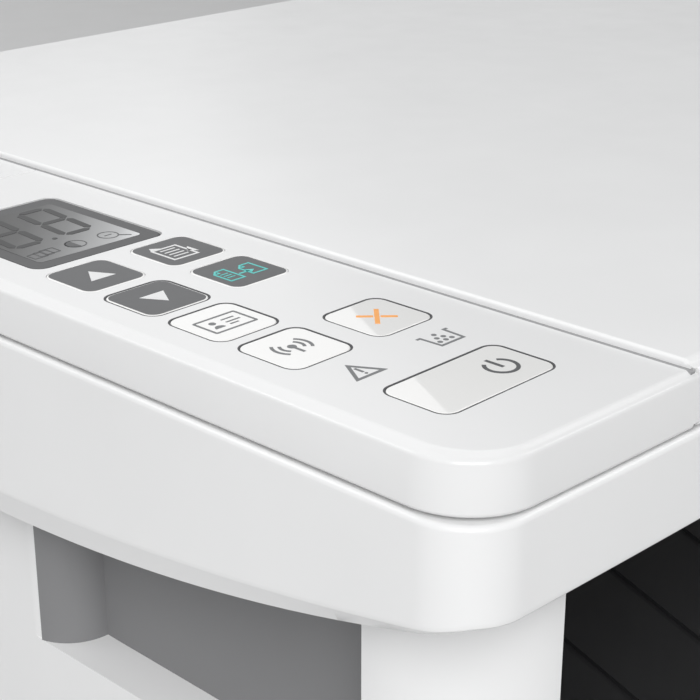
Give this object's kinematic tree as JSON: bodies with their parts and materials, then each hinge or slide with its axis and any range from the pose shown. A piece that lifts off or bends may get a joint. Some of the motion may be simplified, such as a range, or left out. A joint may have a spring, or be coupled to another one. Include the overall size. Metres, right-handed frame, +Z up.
{
  "type": "laser multifunction printer",
  "caption": "Compact monochrome laser printer with flatbed scanner, hinged lid, angled keypad strip with display, fold-down paper tray, output bin and geared print engine.",
  "frame": {"origin": "centre of the bounding box in plan, on the surface the feet stand on", "axes": "+X to the printer's right seen from its front, +Y to its back, +Z up"},
  "size_m": [0.36, 0.264, 0.197],
  "materials": {
    "white_shell": "satin white moulded",
    "black_plastic": "matt black moulded",
    "grey_plastic": "matt grey moulded",
    "zinc_steel": "zinc plated",
    "rubber": "matt",
    "gear_plastic": "natural acetal",
    "circuit_board": "solder mask green",
    "drum_coating": "photoconductor coating",
    "fuser_sleeve": "dark release coating",
    "glass": "polished",
    "lid_foam": "white sheet on foam",
    "dark_key": "dark grey",
    "white_key": "white",
    "display_lens": "dark window"
  },
  "bodies": {
    "chassis": {"base_pan": "white_shell", "left_cover": "white_shell", "right_cover": "white_shell", "rear_cover": "white_shell", "left_frame": "zinc_steel", "right_frame": "zinc_steel", "top_plate": "black_plastic", "laser_housing": "grey_plastic", "fuser_frame": "grey_plastic", "paper_chute": "black_plastic", "toner_cartridge": "black_plastic", "main_motor": "zinc_steel", "exit_belt": "rubber", "main_board": "circuit_board", "power_supply": "circuit_board", "power_inlet": "black_plastic", "usb_port": "zinc_steel", "foot_front_left": "rubber", "foot_front_right": "rubber", "foot_rear_left": "rubber", "foot_rear_right": "rubber"},
    "scanner": {"scanner_base": "white_shell", "platen_glass": "glass", "carriage_rod": "zinc_steel", "control_panel": "white_shell", "panel_rear_cover": "white_shell", "panel_board": "circuit_board", "display_module": "display_lens", "lid_hinge_left": "grey_plastic", "lid_hinge_right": "grey_plastic"},
    "lid": {"lid_cover": "white_shell", "lid_pad": "lid_foam"},
    "carriage": {"scan_carriage": "black_plastic"},
    "tray": {"input_tray": "white_shell"},
    "guide_left": {"paper_guide_left": "black_plastic"},
    "guide_right": {"paper_guide_right": "black_plastic"},
    "rear_door": {"rear_door": "white_shell"},
    "bin_door": {"cartridge_door": "black_plastic"},
    "stop": {"output_stop": "grey_plastic"},
    "mirror": {"polygon_mirror": "zinc_steel"},
    "pinion": {"motor_pinion": "gear_plastic"},
    "drive": {"drive_gear": "gear_plastic"},
    "idler": {"idler_gear": "gear_plastic"},
    "feed": {"feed_gear": "gear_plastic"},
    "drum": {"drum": "drum_coating"},
    "developer": {"developer_roller": "rubber"},
    "transfer": {"transfer_roller": "rubber"},
    "fuser": {"fuser_roller": "fuser_sleeve"},
    "pressure": {"pressure_roller": "rubber"},
    "pickup": {"pickup_roller": "rubber"},
    "exit": {"exit_roller": "rubber"},
    "key_up": {"key_up": "dark_key"},
    "key_down": {"key_down": "dark_key"},
    "key_id_copy": {"key_id_copy": "white_key"},
    "key_wireless": {"key_wireless": "white_key"},
    "key_copy_setup": {"key_copy_setup": "dark_key"},
    "key_start_copy": {"key_start_copy": "dark_key"},
    "key_cancel": {"key_cancel": "white_key"},
    "key_power": {"key_power": "white_key"}
  },
  "joints": [
    {"name": "scanner_lift", "type": "hinge", "parent": "chassis", "child": "scanner", "pos_m": [0, 0.124, 0.156], "axis": [-1, 0, 0], "range_deg": [0, 38]},
    {"name": "bin_door_hinge", "type": "hinge", "parent": "chassis", "child": "bin_door", "pos_m": [0, 0.02, 0.146], "axis": [-1, 0, 0], "range_deg": [0, 58]},
    {"name": "stop_hinge", "type": "hinge", "parent": "bin_door", "child": "stop", "pos_m": [0, -0.10597, 0.10208], "axis": [1, 0, 0], "range_deg": [0, 110]},
    {"name": "lid_hinge", "type": "hinge", "parent": "scanner", "child": "lid", "pos_m": [0, 0.126, 0.189], "axis": [-1, 0, 0], "range_deg": [0, 75]},
    {"name": "carriage_slide", "type": "slide", "parent": "scanner", "child": "carriage", "axis": [1, 0, 0], "range_m": [0, 0.275]},
    {"name": "tray_hinge", "type": "hinge", "parent": "chassis", "child": "tray", "pos_m": [0, -0.1185, 0.022], "axis": [1, 0, 0], "range_deg": [0, 88]},
    {"name": "guide_left_slide", "type": "slide", "parent": "chassis", "child": "guide_left", "axis": [1, 0, 0], "range_m": [0, 0.03]},
    {"name": "guide_right_slide", "type": "slide", "parent": "chassis", "child": "guide_right", "axis": [-1, 0, 0], "range_m": [0, 0.03]},
    {"name": "rear_door_hinge", "type": "hinge", "parent": "chassis", "child": "rear_door", "pos_m": [0, 0.1222, 0.0545], "axis": [-1, 0, 0], "range_deg": [0, 90]},
    {"name": "mirror_spin", "type": "hinge", "parent": "chassis", "child": "mirror", "pos_m": [0, 0.09, 0.118], "axis": [0, 0, 1], "continuous": true},
    {"name": "motor_spin", "type": "hinge", "parent": "chassis", "child": "pinion", "pos_m": [0, -0.04287, 0.06947], "axis": [1, 0, 0], "continuous": true},
    {"name": "drive_spin", "type": "hinge", "parent": "chassis", "child": "drive", "pos_m": [0, -0.01215, 0.09098], "axis": [1, 0, 0], "continuous": true},
    {"name": "drum_spin", "type": "hinge", "parent": "chassis", "child": "drum", "pos_m": [0, 0.04, 0.072], "axis": [1, 0, 0], "continuous": true},
    {"name": "idler_spin", "type": "hinge", "parent": "chassis", "child": "idler", "pos_m": [0, 0.07787, 0.05383], "axis": [1, 0, 0], "continuous": true},
    {"name": "fuser_spin", "type": "hinge", "parent": "chassis", "child": "fuser", "pos_m": [0, 0.098, 0.074], "axis": [1, 0, 0], "continuous": true},
    {"name": "feed_spin", "type": "hinge", "parent": "chassis", "child": "feed", "pos_m": [0, 0.0275, 0.04146], "axis": [1, 0, 0], "continuous": true},
    {"name": "pickup_spin", "type": "hinge", "parent": "chassis", "child": "pickup", "pos_m": [0, 0.01148, 0.0454], "axis": [1, 0, 0], "continuous": true},
    {"name": "developer_spin", "type": "hinge", "parent": "chassis", "child": "developer", "pos_m": [0, 0.02271, 0.06737], "axis": [1, 0, 0], "continuous": true},
    {"name": "transfer_spin", "type": "hinge", "parent": "chassis", "child": "transfer", "pos_m": [0, 0.04, 0.0524], "axis": [1, 0, 0], "continuous": true},
    {"name": "pressure_spin", "type": "hinge", "parent": "chassis", "child": "pressure", "pos_m": [0, 0.098, 0.0556], "axis": [1, 0, 0], "continuous": true},
    {"name": "exit_spin", "type": "hinge", "parent": "chassis", "child": "exit", "pos_m": [0, 0.033, 0.145], "axis": [1, 0, 0], "continuous": true},
    {"name": "key_up_press", "type": "slide", "parent": "scanner", "child": "key_up", "axis": [0, 0, -1], "range_m": [0, 0.0006], "stiffness_N_per_m": 1500},
    {"name": "key_down_press", "type": "slide", "parent": "scanner", "child": "key_down", "axis": [0, 0, -1], "range_m": [0, 0.0006], "stiffness_N_per_m": 1500},
    {"name": "key_id_copy_press", "type": "slide", "parent": "scanner", "child": "key_id_copy", "axis": [0, 0, -1], "range_m": [0, 0.0006], "stiffness_N_per_m": 1500},
    {"name": "key_wireless_press", "type": "slide", "parent": "scanner", "child": "key_wireless", "axis": [0, 0, -1], "range_m": [0, 0.0006], "stiffness_N_per_m": 1500},
    {"name": "key_copy_setup_press", "type": "slide", "parent": "scanner", "child": "key_copy_setup", "axis": [0, 0, -1], "range_m": [0, 0.0006], "stiffness_N_per_m": 1500},
    {"name": "key_start_copy_press", "type": "slide", "parent": "scanner", "child": "key_start_copy", "axis": [0, 0, -1], "range_m": [0, 0.0006], "stiffness_N_per_m": 1500},
    {"name": "key_cancel_press", "type": "slide", "parent": "scanner", "child": "key_cancel", "axis": [0, 0, -1], "range_m": [0, 0.0006], "stiffness_N_per_m": 1500},
    {"name": "key_power_press", "type": "slide", "parent": "scanner", "child": "key_power", "axis": [0, 0, -1], "range_m": [0, 0.0006], "stiffness_N_per_m": 1500}
  ],
  "couplings": [
    {"joint": "bin_door_hinge", "follows": "scanner_lift", "ratio": 1.5},
    {"joint": "guide_right_slide", "follows": "guide_left_slide", "ratio": 1},
    {"joint": "drive_spin", "follows": "motor_spin", "ratio": -0.25},
    {"joint": "drum_spin", "follows": "motor_spin", "ratio": 0.29412},
    {"joint": "idler_spin", "follows": "motor_spin", "ratio": -0.45454},
    {"joint": "fuser_spin", "follows": "motor_spin", "ratio": 0.625},
    {"joint": "feed_spin", "follows": "motor_spin", "ratio": -1},
    {"joint": "pickup_spin", "follows": "motor_spin", "ratio": 0.83333},
    {"joint": "developer_spin", "follows": "motor_spin", "ratio": -0.64171},
    {"joint": "transfer_spin", "follows": "motor_spin", "ratio": -0.4902},
    {"joint": "pressure_spin", "follows": "motor_spin", "ratio": -0.625},
    {"joint": "exit_spin", "follows": "motor_spin", "ratio": 0.83333}
  ]
}
